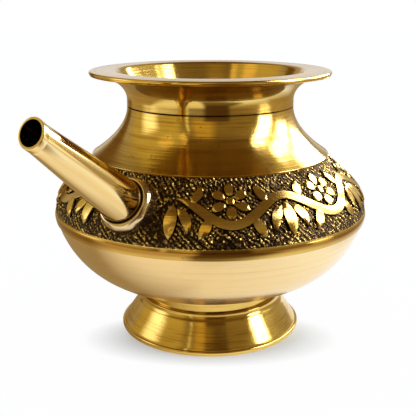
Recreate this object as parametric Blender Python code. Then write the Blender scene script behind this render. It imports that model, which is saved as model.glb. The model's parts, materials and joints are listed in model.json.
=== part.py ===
"""Spouted brass water pot, built as it is brazed together from turned and rolled pieces.

Metres, +Z up. The pot's turned axis is Z, the table is z = 0 and the spout points along -Y.
Every turned outline is a list of (radius, height) points that runs down the outer side.
"""

import math

import bpy

# Clearance that brazed pieces keep from each other, and the fineness of the turned meshes
JOINT_GAP = 0.0003
POT_SEGMENTS = 48
SPOUT_SEGMENTS = 32
CURVE_STEPS = 6

# Stages of the pot's height, from the rim down; the bowl and the foot take up the rest
POT_HEIGHT = 0.1143
NECK_HEIGHT = 0.0150
SHOULDER_HEIGHT = 0.0200
BAND_HEIGHT = 0.0237
RIDGE_HEIGHT = 0.0040

# Rim flange and neck
RIM_RADIUS = 0.0512
RIM_EDGE = 0.0019
MOUTH_RADIUS = 0.0394
MOUTH_ROUND = 0.0017
MOUTH_DEPTH = 0.0111
MOUTH_TOP_PULL = (-0.0012, -0.0042)
MOUTH_LOW_PULL = (0, 0.0040)
NECK_RADIUS = 0.0356
NECK_WALL = 0.0013
NECK_WAIST_DEPTH = 0.0121
NECK_SPIGOT_WALL = 0.0012
NECK_BRAZE_EDGE = 0.0003
NECK_BRAZE_WIDTH = 0.0015

# Shoulder, ornament band and the plain ridge under it; a pull is a curve handle (outward, upward)
SHOULDER_WALL = 0.0017
SHOULDER_TOP_PULL = 0.00845
SHOULDER_LOW_PULL = (-0.0061, 0.0040)
BAND_TOP_RADIUS = 0.0510
BAND_TOP_PULL = (0.0024, -0.0066)
BAND_LOW_PULL = (0.0014, 0.0113)
RIDGE_TOP_PULL = (0.0012, -0.0006)
RIDGE_LOW_PULL = (0.0018, 0.0016)
RIDGE_OVERHANG = 0.0006
SEAM_RADIUS = 0.0670

# Bowl with the joggled lip that slips up inside the shoulder
BOWL_WALL = 0.0012
BOWL_TOP_PULL = (-0.0010, -0.0030)
BOWL_FOOT_PULL = (0.0295, 0.0036)
BOWL_FOOT_RADIUS = 0.0305
BOWL_FOOT_Z = 0.0214
BOWL_BOTTOM_Z = 0.0196
SEAM_FACE = 0.0013
LIP_HEIGHT = 0.0046
BELLY_BRAZE_WIDTH = 0.0010
BELLY_BRAZE_HEIGHT = 0.0018

# Foot ring, from the table up: lip, cone, hollow with a ledge on top, and the collar under the bowl
FOOT_LIP_RADIUS = 0.0402
FOOT_LIP_HEIGHT = 0.0021
FOOT_LIP_ROUND = 0.0007
FOOT_CONE_HEIGHT = 0.0102
FOOT_CONE_LOW_RADIUS = 0.0393
FOOT_CONE_TOP_RADIUS = 0.0324
FOOT_HOLLOW_HEIGHT = 0.0029
FOOT_HOLLOW_TOP_PULL = (0, -0.0012)
FOOT_HOLLOW_LOW_PULL = (-0.0006, 0.0008)
FOOT_LEDGE_RADIUS = 0.0313
FOOT_LEDGE_ROUND = 0.0005
FOOT_COLLAR_RADIUS = 0.0296
FOOT_COLLAR_WIDTH = 0.0026
FOOT_FACE_WIDTH = 0.0024
FOOT_WALL = 0.0016
FOOT_BRAZE_WIDTH = 0.0019
FOOT_BRAZE_HEIGHT = 0.0020

# Spout: a straight tapered tube in a collar that is cut to the shoulder; heights run out along its axis,
# and the seat's rise is measured from the low edge of the ornament band
SPOUT_SEAT_RISE = 0.0130
SPOUT_ELEVATION = math.radians(35.5)
SPOUT_LENGTH = 0.0597
SPOUT_ROOT_DEPTH = 0.0045
SPOUT_ROOT_RADIUS = 0.0085
SPOUT_TIP_RADIUS = 0.0051
SPOUT_WALL = 0.0009
SPOUT_LIP_LENGTH = 0.0026
SPOUT_LIP_STEP = 0.00025
COLLAR_HEIGHT = 0.0046
COLLAR_WALL = 0.0021
COLLAR_SPREAD = 0.0012
COLLAR_COUNTERSINK = 0.0014
COLLAR_SKIRT = 0.0080
SPOUT_BRAZE_HEIGHT = 0.0009

# Colours of the brass and of the braze metal
BRASS = (0.78, 0.53, 0.16)
PALE_BRASS = (0.86, 0.66, 0.32)
BAND_BRASS = (0.62, 0.42, 0.13)
BRAZE = (0.42, 0.30, 0.12)


def curve(start, start_pull, end_pull, end, steps=CURVE_STEPS):
    """Points of a cubic curve whose handles are given from its two ends."""
    first = (start[0] + start_pull[0], start[1] + start_pull[1])
    second = (end[0] + end_pull[0], end[1] + end_pull[1])
    points = []
    for i in range(steps + 1):
        t = i / steps
        weights = ((1 - t) ** 3, 3 * t * (1 - t) ** 2, 3 * t * t * (1 - t), t**3)
        corners = (start, first, second, end)
        points.append(tuple(sum(w * c[k] for w, c in zip(weights, corners)) for k in (0, 1)))
    return points


def arc(centre, radius_out, radius_up, start, end, steps=CURVE_STEPS):
    """Points of an ellipse's arc, from one angle to another in degrees."""
    angles = [math.radians(start + (end - start) * i / steps) for i in range(steps + 1)]
    return [
        (centre[0] + radius_out * math.cos(a), centre[1] + radius_up * math.sin(a))
        for a in angles
    ]


def inset(points, depth):
    """The outline moved towards the material by depth; a negative depth moves it out."""
    moved = []
    for i, (r, z) in enumerate(points):
        before, after = points[max(i - 1, 0)], points[min(i + 1, len(points) - 1)]
        run, rise = after[0] - before[0], after[1] - before[1]
        length = math.hypot(run, rise)
        moved.append((r + depth * rise / length, z - depth * run / length))
    return moved


def between(points, value, known, wanted):
    """One coordinate of an outline where its other coordinate has the given value."""
    for a, b in zip(points, points[1:]):
        low, high = sorted((a[known], b[known]))
        if low <= value <= high and high > low:
            share = (value - a[known]) / (b[known] - a[known])
            return a[wanted] + share * (b[wanted] - a[wanted])
    raise ValueError("the outline doesn't reach this place")


def radius_at(points, z):
    return between(points, z, 1, 0)


def height_at(points, r):
    return between(points, r, 0, 1)


def metal(name, colour, roughness):
    material = bpy.data.materials.new(name)
    material.use_nodes = True
    shader = material.node_tree.nodes["Principled BSDF"]
    shader.inputs["Base Color"].default_value = (*colour, 1.0)
    shader.inputs["Metallic"].default_value = 1.0
    shader.inputs["Roughness"].default_value = roughness
    return material


def turned(name, outline, segments=POT_SEGMENTS, closed=True, parent=None):
    """An outline turned once round its object's own Z axis."""
    mesh = bpy.data.meshes.new(name)
    edges = [(i, i + 1) for i in range(len(outline) - 1)]
    if closed:
        edges.append((len(outline) - 1, 0))
    mesh.from_pydata([(r, 0.0, z) for r, z in outline], edges, [])
    piece = bpy.data.objects.new(name, mesh)
    bpy.context.scene.collection.objects.link(piece)
    piece.parent = parent
    screw = piece.modifiers.new("turn", "SCREW")
    screw.axis = "Z"
    screw.angle = math.tau
    screw.steps = segments
    screw.render_steps = segments
    screw.use_merge_vertices = True
    screw.merge_threshold = 0.00001
    screw.use_smooth_shade = True
    return piece


def finished(piece, colour, roughness):
    piece.data.materials.append(metal(piece.name + "_metal", colour, roughness))
    return piece


def cut(piece, cutter):
    cutter.hide_render = True
    cutter.display_type = "WIRE"
    boolean = piece.modifiers.new("cut_" + cutter.name, "BOOLEAN")
    boolean.operation = "DIFFERENCE"
    boolean.solver = "EXACT"
    boolean.object = cutter


for old in list(bpy.data.objects):
    bpy.data.objects.remove(old, do_unlink=True)

# Levels and radii that the stages give
neck_joint_z = POT_HEIGHT - NECK_HEIGHT
band_top_z = neck_joint_z - SHOULDER_HEIGHT
band_low_z = band_top_z - BAND_HEIGHT
seam_z = band_low_z - RIDGE_HEIGHT
band_low_radius = SEAM_RADIUS + RIDGE_OVERHANG
neck_waist_z = POT_HEIGHT - NECK_WAIST_DEPTH
spout_seat_z = band_low_z + SPOUT_SEAT_RISE

# Outer skin of the shoulder and the bowl, shared by every piece that seats on them
neck_bore = NECK_RADIUS - NECK_WALL
shoulder_skin = curve(
    (NECK_RADIUS, neck_joint_z), (0, -SHOULDER_TOP_PULL), SHOULDER_LOW_PULL, (BAND_TOP_RADIUS, band_top_z)
)
band_skin = curve(
    (BAND_TOP_RADIUS, band_top_z), BAND_TOP_PULL, BAND_LOW_PULL, (band_low_radius, band_low_z)
)
bowl_skin = curve(
    (SEAM_RADIUS, seam_z), BOWL_TOP_PULL, BOWL_FOOT_PULL, (BOWL_FOOT_RADIUS, BOWL_FOOT_Z), CURVE_STEPS + 2
)
foot_slope = BOWL_FOOT_PULL[1] / BOWL_FOOT_PULL[0]
bottom_run = (BOWL_FOOT_Z - BOWL_BOTTOM_Z) / foot_slope
bottom_skin = curve(
    (BOWL_FOOT_RADIUS, BOWL_FOOT_Z),
    (-bottom_run, -bottom_run * foot_slope),
    (bottom_run, 0),
    (0, BOWL_BOTTOM_Z),
    CURVE_STEPS // 2,
)

# Neck collar: flat rim flange, hollow curve under it, and a spigot that drops into the shoulder
# as far as where the wall stands off by the width of the braze fillet
inner_skin = inset(shoulder_skin + band_skin[1:], SHOULDER_WALL)
inner_skin[0] = (neck_bore, neck_joint_z)
fillet_side = inset(inner_skin, JOINT_GAP)
spigot_radius = neck_bore - JOINT_GAP
spigot_bore = spigot_radius - NECK_SPIGOT_WALL
spigot_low_z = height_at(fillet_side, neck_bore + NECK_BRAZE_WIDTH)
collar_joint_z = neck_joint_z + JOINT_GAP
edge_round = RIM_EDGE / 2
edge_centre = (RIM_RADIUS - edge_round, POT_HEIGHT - edge_round)
flare_reach = edge_centre[0] - NECK_RADIUS
flare_rise = POT_HEIGHT - RIM_EDGE - neck_waist_z
mouth_low = (neck_bore, POT_HEIGHT - MOUTH_DEPTH)
mouth_top = (MOUTH_RADIUS, POT_HEIGHT - MOUTH_ROUND)
mouth_centre = (MOUTH_RADIUS + MOUTH_ROUND, mouth_top[1])
neck_outline = (
    arc(edge_centre, edge_round, edge_round, 90, -90, 4)
    + arc((edge_centre[0], neck_waist_z), flare_reach, flare_rise, 90, 180)[1:]
    + [(NECK_RADIUS, collar_joint_z), (spigot_radius, collar_joint_z)]
    + [(spigot_radius, spigot_low_z), (spigot_bore, spigot_low_z), (spigot_bore, collar_joint_z)]
    + curve(mouth_low, MOUTH_LOW_PULL, MOUTH_TOP_PULL, mouth_top)
    + arc(mouth_centre, MOUTH_ROUND, MOUTH_ROUND, 180, 90, 4)[1:]
)
neck_collar = finished(turned("neck_collar", neck_outline), BRASS, 0.22)

# Shoulder: hollow curve, ornament band, plain ridge, and a straight bore that takes the bowl's lip
lap_bore = SEAM_RADIUS - SEAM_FACE
shoulder_low_z = seam_z + JOINT_GAP
lap_top_z = seam_z + LIP_HEIGHT + JOINT_GAP
ridge_skin = curve(
    (band_low_radius, band_low_z),
    RIDGE_TOP_PULL,
    RIDGE_LOW_PULL,
    (SEAM_RADIUS, shoulder_low_z),
    4,
)
body_skin = shoulder_skin + band_skin[1:] + ridge_skin[1:]
inner_wall = [p for p in inner_skin if p[1] > lap_top_z + SHOULDER_WALL]
shoulder_outline = body_skin + [(lap_bore, shoulder_low_z), (lap_bore, lap_top_z)] + inner_wall[::-1]
shoulder = finished(turned("shoulder", shoulder_outline), BAND_BRASS, 0.3)

# Bowl: round bottom, and a lip set in by its own joggle so that it slips up inside the shoulder
lip_radius = lap_bore - JOINT_GAP
lip_bore = lip_radius - BOWL_WALL
lip_top_z = seam_z + LIP_HEIGHT
bowl_inner = inset(bowl_skin + bottom_skin[1:], BOWL_WALL)
bowl_inner[-1] = (0, BOWL_BOTTOM_Z + BOWL_WALL)
joggle_z = seam_z - BOWL_WALL
bowl_wall = [p for p in bowl_inner if p[1] < joggle_z - BOWL_WALL]
bowl_outline = (
    bowl_wall[::-1]
    + [(lip_bore, joggle_z), (lip_bore, lip_top_z), (lip_radius, lip_top_z), (lip_radius, seam_z)]
    + bowl_skin
    + bottom_skin[1:]
)
bowl = turned("bowl", bowl_outline, closed=False)
finished(bowl, PALE_BRASS, 0.2)

# Foot ring: its collar is turned to the slope of the bowl, and it is hollow underneath
bowl_seat = inset(bowl_skin + bottom_skin[1:], -JOINT_GAP)
collar_bore = FOOT_COLLAR_RADIUS - FOOT_COLLAR_WIDTH
cone_top_z = FOOT_LIP_HEIGHT + FOOT_CONE_HEIGHT
ledge_z = cone_top_z + FOOT_HOLLOW_HEIGHT
ledge_centre = (FOOT_LEDGE_RADIUS - FOOT_LEDGE_ROUND, ledge_z - FOOT_LEDGE_ROUND)
hollow_skin = curve(
    (FOOT_LEDGE_RADIUS, ledge_centre[1]),
    FOOT_HOLLOW_TOP_PULL,
    FOOT_HOLLOW_LOW_PULL,
    (FOOT_CONE_TOP_RADIUS, cone_top_z),
    4,
)
cone_low = (FOOT_CONE_LOW_RADIUS, FOOT_LIP_HEIGHT)
foot_inner = inset(hollow_skin + [cone_low], FOOT_WALL)
lip_centre = FOOT_LIP_RADIUS - FOOT_LIP_ROUND
foot_outline = (
    [(FOOT_COLLAR_RADIUS, height_at(bowl_seat, FOOT_COLLAR_RADIUS)), (FOOT_COLLAR_RADIUS, ledge_z)]
    + arc(ledge_centre, FOOT_LEDGE_ROUND, FOOT_LEDGE_ROUND, 90, 0, 2)
    + hollow_skin[1:]
    + [cone_low]
    + arc((lip_centre, FOOT_LIP_HEIGHT - FOOT_LIP_ROUND), FOOT_LIP_ROUND, FOOT_LIP_ROUND, 90, 0, 3)
    + arc((lip_centre, FOOT_LIP_ROUND), FOOT_LIP_ROUND, FOOT_LIP_ROUND, 0, -90, 3)
    + [(lip_centre - FOOT_FACE_WIDTH, 0)]
    + [p for p in foot_inner[::-1] if p[0] < lip_centre - FOOT_FACE_WIDTH]
    + [(collar_bore, ledge_z), (collar_bore, height_at(bowl_seat, collar_bore))]
)
foot_ring = finished(turned("foot_ring", foot_outline), BRASS, 0.22)

# Braze metal left as a fillet inside each round seam
neck_fillet_top_z = height_at(fillet_side, neck_bore + NECK_BRAZE_EDGE)
neck_braze = [
    (neck_bore + NECK_BRAZE_EDGE, neck_fillet_top_z),
    (neck_bore + NECK_BRAZE_WIDTH, spigot_low_z),
    (neck_bore, spigot_low_z),
    (neck_bore, neck_fillet_top_z),
]
belly_low_z = lip_top_z + JOINT_GAP
belly_braze = [
    (lip_radius, belly_low_z + BELLY_BRAZE_HEIGHT),
    (lip_radius, belly_low_z),
    (lip_radius - BELLY_BRAZE_WIDTH, belly_low_z),
]
foot_fillet_radius = collar_bore - JOINT_GAP
foot_fillet_top_z = height_at(bowl_seat, foot_fillet_radius)
foot_braze = [
    (foot_fillet_radius, foot_fillet_top_z),
    (foot_fillet_radius, foot_fillet_top_z - FOOT_BRAZE_HEIGHT),
    (foot_fillet_radius - FOOT_BRAZE_WIDTH, height_at(bowl_seat, foot_fillet_radius - FOOT_BRAZE_WIDTH)),
]
for ring_name, ring_outline in (
    ("neck_braze_ring", neck_braze),
    ("belly_braze_ring", belly_braze),
    ("foot_braze_ring", foot_braze),
):
    finished(turned(ring_name, ring_outline), BRAZE, 0.45)

# The spout's axis: an empty on the shoulder's skin whose Z runs out along the tube
spout_axis = bpy.data.objects.new("spout_axis", None)
bpy.context.scene.collection.objects.link(spout_axis)
spout_axis.location = (0, -radius_at(body_skin, spout_seat_z), spout_seat_z)
spout_axis.rotation_euler = (math.pi / 2 - SPOUT_ELEVATION, 0, 0)

# Spout tube: straight where it passes the wall, then tapered to a stepped lip
lip_start = SPOUT_LENGTH - SPOUT_LIP_LENGTH
tip_radius = SPOUT_TIP_RADIUS - SPOUT_LIP_STEP
tube_outline = [
    (tip_radius, SPOUT_LENGTH),
    (tip_radius, lip_start),
    (SPOUT_TIP_RADIUS, lip_start),
    (SPOUT_ROOT_RADIUS, COLLAR_HEIGHT),
    (SPOUT_ROOT_RADIUS, -SPOUT_ROOT_DEPTH),
    (SPOUT_ROOT_RADIUS - SPOUT_WALL, -SPOUT_ROOT_DEPTH),
    (SPOUT_ROOT_RADIUS - SPOUT_WALL, COLLAR_HEIGHT),
    (tip_radius - SPOUT_WALL, SPOUT_LENGTH),
]
finished(turned("spout_tube", tube_outline, SPOUT_SEGMENTS, parent=spout_axis), BRASS, 0.2)

# Hole through the shoulder that the tube passes
bore_radius = SPOUT_ROOT_RADIUS + JOINT_GAP
bore_outline = [(0, COLLAR_SKIRT), (bore_radius, COLLAR_SKIRT), (bore_radius, -COLLAR_SKIRT), (0, -COLLAR_SKIRT)]
spout_bore = turned("spout_bore", bore_outline, SPOUT_SEGMENTS, closed=False, parent=spout_axis)
cut(shoulder, spout_bore)

# Spout collar: a thick rounded sleeve round the tube, cut underneath to the shoulder's curved skin
collar_radius = bore_radius + COLLAR_WALL
mouth_round = COLLAR_WALL - COLLAR_COUNTERSINK / 2
collar_outline = (
    arc((collar_radius - mouth_round, COLLAR_HEIGHT - mouth_round), mouth_round, mouth_round, 90, 0, 4)
    + [(collar_radius, 0), (collar_radius + COLLAR_SPREAD, -COLLAR_SKIRT)]
    + [(bore_radius, -COLLAR_SKIRT), (bore_radius, COLLAR_HEIGHT - COLLAR_COUNTERSINK)]
)
spout_collar = turned("spout_collar", collar_outline, SPOUT_SEGMENTS, parent=spout_axis)
finished(spout_collar, BRASS, 0.3)
saddle_skin = inset(body_skin, -JOINT_GAP)
saddle_outline = [(0, saddle_skin[0][1])] + saddle_skin + [(0, saddle_skin[-1][1])]
cut(spout_collar, turned("body_saddle", saddle_outline, closed=False))

# Braze metal in the countersunk mouth of the collar
braze_low = COLLAR_HEIGHT - COLLAR_COUNTERSINK + 2 * JOINT_GAP
spout_braze = [
    (bore_radius + SPOUT_BRAZE_HEIGHT / 2, braze_low + SPOUT_BRAZE_HEIGHT),
    (bore_radius, braze_low),
    (bore_radius, braze_low + SPOUT_BRAZE_HEIGHT),
]
finished(turned("spout_braze_ring", spout_braze, SPOUT_SEGMENTS, parent=spout_axis), BRAZE, 0.45)
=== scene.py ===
import json
import math

import bpy
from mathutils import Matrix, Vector, noise

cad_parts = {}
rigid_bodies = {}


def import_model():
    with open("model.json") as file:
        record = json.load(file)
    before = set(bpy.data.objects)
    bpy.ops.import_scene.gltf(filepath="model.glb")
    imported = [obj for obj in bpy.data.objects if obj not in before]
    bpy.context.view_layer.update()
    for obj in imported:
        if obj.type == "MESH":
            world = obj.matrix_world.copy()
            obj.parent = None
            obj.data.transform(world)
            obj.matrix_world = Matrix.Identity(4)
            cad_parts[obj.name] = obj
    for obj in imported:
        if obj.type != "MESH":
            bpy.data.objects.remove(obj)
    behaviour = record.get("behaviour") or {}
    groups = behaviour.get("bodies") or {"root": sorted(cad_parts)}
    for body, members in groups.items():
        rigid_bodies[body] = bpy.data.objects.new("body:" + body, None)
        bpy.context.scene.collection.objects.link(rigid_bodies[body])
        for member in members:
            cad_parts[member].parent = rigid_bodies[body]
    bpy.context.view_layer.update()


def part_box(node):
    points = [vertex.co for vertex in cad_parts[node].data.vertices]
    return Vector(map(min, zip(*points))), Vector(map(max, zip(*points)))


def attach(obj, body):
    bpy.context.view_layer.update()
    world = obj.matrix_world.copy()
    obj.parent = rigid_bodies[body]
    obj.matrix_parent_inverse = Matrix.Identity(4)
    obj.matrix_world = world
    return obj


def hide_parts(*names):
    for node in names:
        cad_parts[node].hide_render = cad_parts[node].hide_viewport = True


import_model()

# Foot ring: a cast brass ring, turned to a cone over a squared lip, with a ledge and a short collar
# on top. It is hollow underneath, and its collar is brazed to the bottom of the bowl.

JOINT_GAP = 0.0003
_, foot_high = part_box("foot_ring")
FOOT_LIP_RADIUS = foot_high[0]
FOOT_LIP_HEIGHT = 0.0021
FOOT_LIP_ROUND = 0.0007
FOOT_CONE_HEIGHT = 0.0102
FOOT_CONE_LOW_RADIUS = 0.0393
FOOT_CONE_TOP_RADIUS = 0.0324
FOOT_HOLLOW_HEIGHT = 0.0029
FOOT_HOLLOW_TOP_PULL = (0, -0.0012)
FOOT_HOLLOW_LOW_PULL = (-0.0006, 0.0008)
FOOT_LEDGE_RADIUS = 0.0313
FOOT_LEDGE_ROUND = 0.0005
FOOT_COLLAR_RADIUS = 0.0296
FOOT_COLLAR_BORE = 0.0270
FOOT_FACE_WIDTH = 0.0024
FOOT_WALL = 0.0016
FOOT_GROOVE = 0.0003
TURNED_STEPS = 192
CONE_STEPS = 12
HOLLOW_STEPS = 14
MERGE_DISTANCE = 0.000002


def curve(start, start_pull, end_pull, end, steps=20):
    """Points of a cubic curve whose handles are given from its two ends, as (radius, height)."""
    start, end = Vector(start), Vector(end)
    handles = (start, start + Vector(start_pull), end + Vector(end_pull), end)
    points = []
    for i in range(steps + 1):
        t = i / steps
        weights = ((1 - t) ** 3, 3 * t * (1 - t) ** 2, 3 * t * t * (1 - t), t**3)
        spot = sum((w * h for w, h in zip(weights, handles)), Vector((0, 0)))
        points.append((spot.x, spot.y))
    return points


def arc(centre, radius_out, radius_up, start, end, steps=12):
    """Points of an ellipse's arc, from one angle to another in degrees."""
    angles = [math.radians(start + (end - start) * i / steps) for i in range(steps + 1)]
    return [(centre[0] + radius_out * math.cos(a), centre[1] + radius_up * math.sin(a)) for a in angles]


def inset(points, depth):
    """An outline that runs down the outer side, moved into the metal by depth."""
    moved = []
    for i, (r, z) in enumerate(points):
        before, after = points[max(i - 1, 0)], points[min(i + 1, len(points) - 1)]
        run, rise = after[0] - before[0], after[1] - before[1]
        length = math.hypot(run, rise)
        moved.append((r + depth * rise / length, z - depth * run / length))
    return moved


def height_at(points, radius):
    """Height of an outline where it has this radius."""
    for a, b in zip(points, points[1:]):
        if min(a[0], b[0]) <= radius <= max(a[0], b[0]) and a[0] != b[0]:
            return a[1] + (radius - a[0]) / (b[0] - a[0]) * (b[1] - a[1])
    raise ValueError("the outline doesn't reach this radius")


def radius_at(points, height):
    """Radius of an outline where it has this height."""
    return height_at([(z, r) for r, z in points], height)


def spin_outline(name, outline, steps=TURNED_STEPS, seat=(0, 0, 0), axis=(0, 0, 1)):
    """Draws half a cross-section by extruding one vertex along it, then spins it about an axis.
    A cross-section that doesn't start on the axis is closed first."""
    base, along, out = Vector(seat), Vector(axis), Vector((1, 0, 0))
    if outline[0][0] > 0:
        outline = outline + outline[:1]
    spots = [base + out * r + along * z for r, z in outline]
    bpy.ops.object.select_all(action="DESELECT")
    bpy.ops.mesh.primitive_plane_add(size=0.001)
    piece = bpy.context.object
    piece.name = name
    piece.data.name = name
    bpy.ops.object.mode_set(mode="EDIT")
    bpy.ops.mesh.select_mode(type="VERT")
    bpy.ops.mesh.merge(type="CENTER")
    bpy.ops.transform.translate(value=spots[0])
    for here, there in zip(spots, spots[1:]):
        bpy.ops.mesh.extrude_vertices_move(TRANSFORM_OT_translate={"value": there - here})
    bpy.ops.mesh.select_all(action="SELECT")
    bpy.ops.mesh.spin(steps=steps, angle=math.tau, center=base, axis=along)
    bpy.ops.mesh.select_all(action="SELECT")
    bpy.ops.mesh.remove_doubles(threshold=MERGE_DISTANCE)
    bpy.ops.mesh.normals_make_consistent(inside=False)
    bpy.ops.object.mode_set(mode="OBJECT")
    return piece


def finish_piece(piece, material, slot, *nodes, smooth_angle=35):
    """Shades a piece, gives it its metal and hangs it on the frame in place of its CAD nodes."""
    bpy.ops.object.select_all(action="DESELECT")
    piece.select_set(True)
    bpy.context.view_layer.objects.active = piece
    bpy.ops.object.shade_smooth_by_angle(angle=math.radians(smooth_angle))
    piece.data.materials.clear()
    piece.data.materials.append(material)
    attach(piece, "root")
    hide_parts(*nodes)


def add(tree, kind, inputs=None, **settings):
    """Adds a shader node. An input's value is a number or colour, or the socket that feeds it."""
    made = tree.nodes.new(kind)
    for setting, value in settings.items():
        setattr(made, setting, value)
    for socket, value in (inputs or {}).items():
        if isinstance(value, bpy.types.NodeSocket):
            tree.links.new(value, made.inputs[socket])
        else:
            made.inputs[socket].default_value = value
    return made


def math_node(tree, operation, first, second=0.0):
    """One sum on two values or sockets."""
    return add(tree, "ShaderNodeMath", {0: first, 1: second}, operation=operation).outputs[0]


def spread(tree, value, low, high, to_low=0.0, to_high=1.0):
    """Stretches the part of a mask between low and high over the whole range."""
    inputs = {"Value": value, "From Min": low, "From Max": high, "To Min": to_low, "To Max": to_high}
    return add(tree, "ShaderNodeMapRange", inputs, clamp=True).outputs["Result"]


def mixed(tree, share, first, second):
    """The first colour, giving way to the second as the share goes from 0 to 1."""
    made = add(tree, "ShaderNodeMix", {0: share, 6: first, 7: second}, data_type="RGBA")
    return made.outputs[2]


def parts_of(tree, place):
    """The three coordinates of a place."""
    return add(tree, "ShaderNodeSeparateXYZ", {0: place}).outputs


def place_of(tree, *parts):
    """The place that has these coordinates."""
    return add(tree, "ShaderNodeCombineXYZ", dict(enumerate(parts))).outputs[0]


def vector_sum(tree, operation, result, *places):
    """One sum on places, of which the named result is taken."""
    made = add(tree, "ShaderNodeVectorMath", dict(enumerate(places)), operation=operation)
    return made.outputs[result]


def clouded(tree, place, scale, detail=2.0, more=None, **settings):
    """Soft noise from 0 to 1."""
    inputs = {"Vector": place, "Scale": scale, "Detail": detail, **(more or {})}
    return add(tree, "ShaderNodeTexNoise", inputs, **settings).outputs[0]


def new_group(name, inputs, outputs):
    """A shader node group with its named sockets, and its two end nodes."""
    group = bpy.data.node_groups.new(name, "ShaderNodeTree")
    for label, kind in inputs.items():
        group.interface.new_socket(label, in_out="INPUT", socket_type="NodeSocket" + kind)
    for label in outputs:
        group.interface.new_socket(label, in_out="OUTPUT", socket_type="NodeSocketFloat")
    return group, group.nodes.new("NodeGroupInput"), group.nodes.new("NodeGroupOutput")


# Turning marks: fine rings round the turned axis, each strong or faint in places round the pot
MARK_INPUTS = {"Position": "Vector", "Fineness": "Float"}
MARK_OUTPUTS = ("Lines", "Bands")
RING_BREAKS = 4.0
lathe_lines, given, out = new_group("lathe_lines", MARK_INPUTS, MARK_OUTPUTS)
parts = parts_of(lathe_lines, given.outputs["Position"])
flat = place_of(lathe_lines, parts[0], parts[1])
radius = vector_sum(lathe_lines, "LENGTH", "Value", flat)
heading = vector_sum(lathe_lines, "NORMALIZE", "Vector", flat)
turn = vector_sum(lathe_lines, "MULTIPLY", "Vector", heading, (RING_BREAKS, RING_BREAKS, 0))
turn = parts_of(lathe_lines, turn)
for label, coarseness, detail in zip(MARK_OUTPUTS, (1.0, 0.3), (3.0, 2.0)):
    fine = math_node(lathe_lines, "MULTIPLY", given.outputs["Fineness"], coarseness)
    up = math_node(lathe_lines, "MULTIPLY", parts[2], fine)
    outwards = math_node(lathe_lines, "MULTIPLY", radius, fine)
    ring_spot = place_of(lathe_lines, up, outwards)
    rings = clouded(lathe_lines, ring_spot, 1.0, detail, noise_dimensions="2D")
    break_spot = place_of(lathe_lines, turn[0], turn[1], up)
    breaks = clouded(lathe_lines, break_spot, 1.0, 1.0, {"W": outwards}, noise_dimensions="4D")
    whole = spread(lathe_lines, rings, 0.32, 0.68)
    strength = spread(lathe_lines, breaks, 0.30, 0.60, 0.35)
    lathe_lines.links.new(math_node(lathe_lines, "MULTIPLY", whole, strength), out.inputs[label])

# Drawn marks: streaks along an axis, as planishing and the polishing cloth leave them on a tube
DRAWN_STRETCH = (1.0, 1.0, 0.03)
drawn_lines, given, out = new_group("drawn_lines", MARK_INPUTS, MARK_OUTPUTS)
stretched = vector_sum(drawn_lines, "MULTIPLY", "Vector", given.outputs["Position"], DRAWN_STRETCH)
for label, coarseness in zip(MARK_OUTPUTS, (1.0, 0.4)):
    fine = math_node(drawn_lines, "MULTIPLY", given.outputs["Fineness"], coarseness)
    streaks = clouded(drawn_lines, stretched, fine, 1.0)
    drawn_lines.links.new(spread(drawn_lines, streaks, 0.35, 0.65), out.inputs[label])

# Tarnish: cloudy darker patches and small specks that handling leaves on brass
SPECK_FINENESS = 22.0
STAIN_INPUTS = {"Position": "Vector", "Scale": "Float"}
tarnish, given, out = new_group("tarnish", STAIN_INPUTS, ("Clouds", "Specks"))
stain_spot, stain_scale = given.outputs["Position"], given.outputs["Scale"]
speck_scale = math_node(tarnish, "MULTIPLY", stain_scale, SPECK_FINENESS)
clouds = clouded(tarnish, stain_spot, stain_scale, 5.0, {"Distortion": 0.4})
specks = clouded(tarnish, stain_spot, speck_scale)
tarnish.links.new(spread(tarnish, clouds, 0.42, 0.72), out.inputs["Clouds"])
tarnish.links.new(spread(tarnish, specks, 0.66, 0.76), out.inputs["Specks"])


LATHE_FINENESS = 1150.0
LATHE_GRAIN = 0.85
GRAIN_TURN = 0.25
STAIN_SCALE = 28.0
STAIN_SHARE = 0.35
MARK_SHARE = 0.9
STAIN_DULLING = 0.04
JOINT_DIRT = (0.02, 0.012, 0.006, 1.0)
DIRT_FULL, DIRT_CLEAR = 0.8 * JOINT_GAP, 1.6 * JOINT_GAP
GLOSSIEST, DULLEST = 0.75, 1.25


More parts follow.
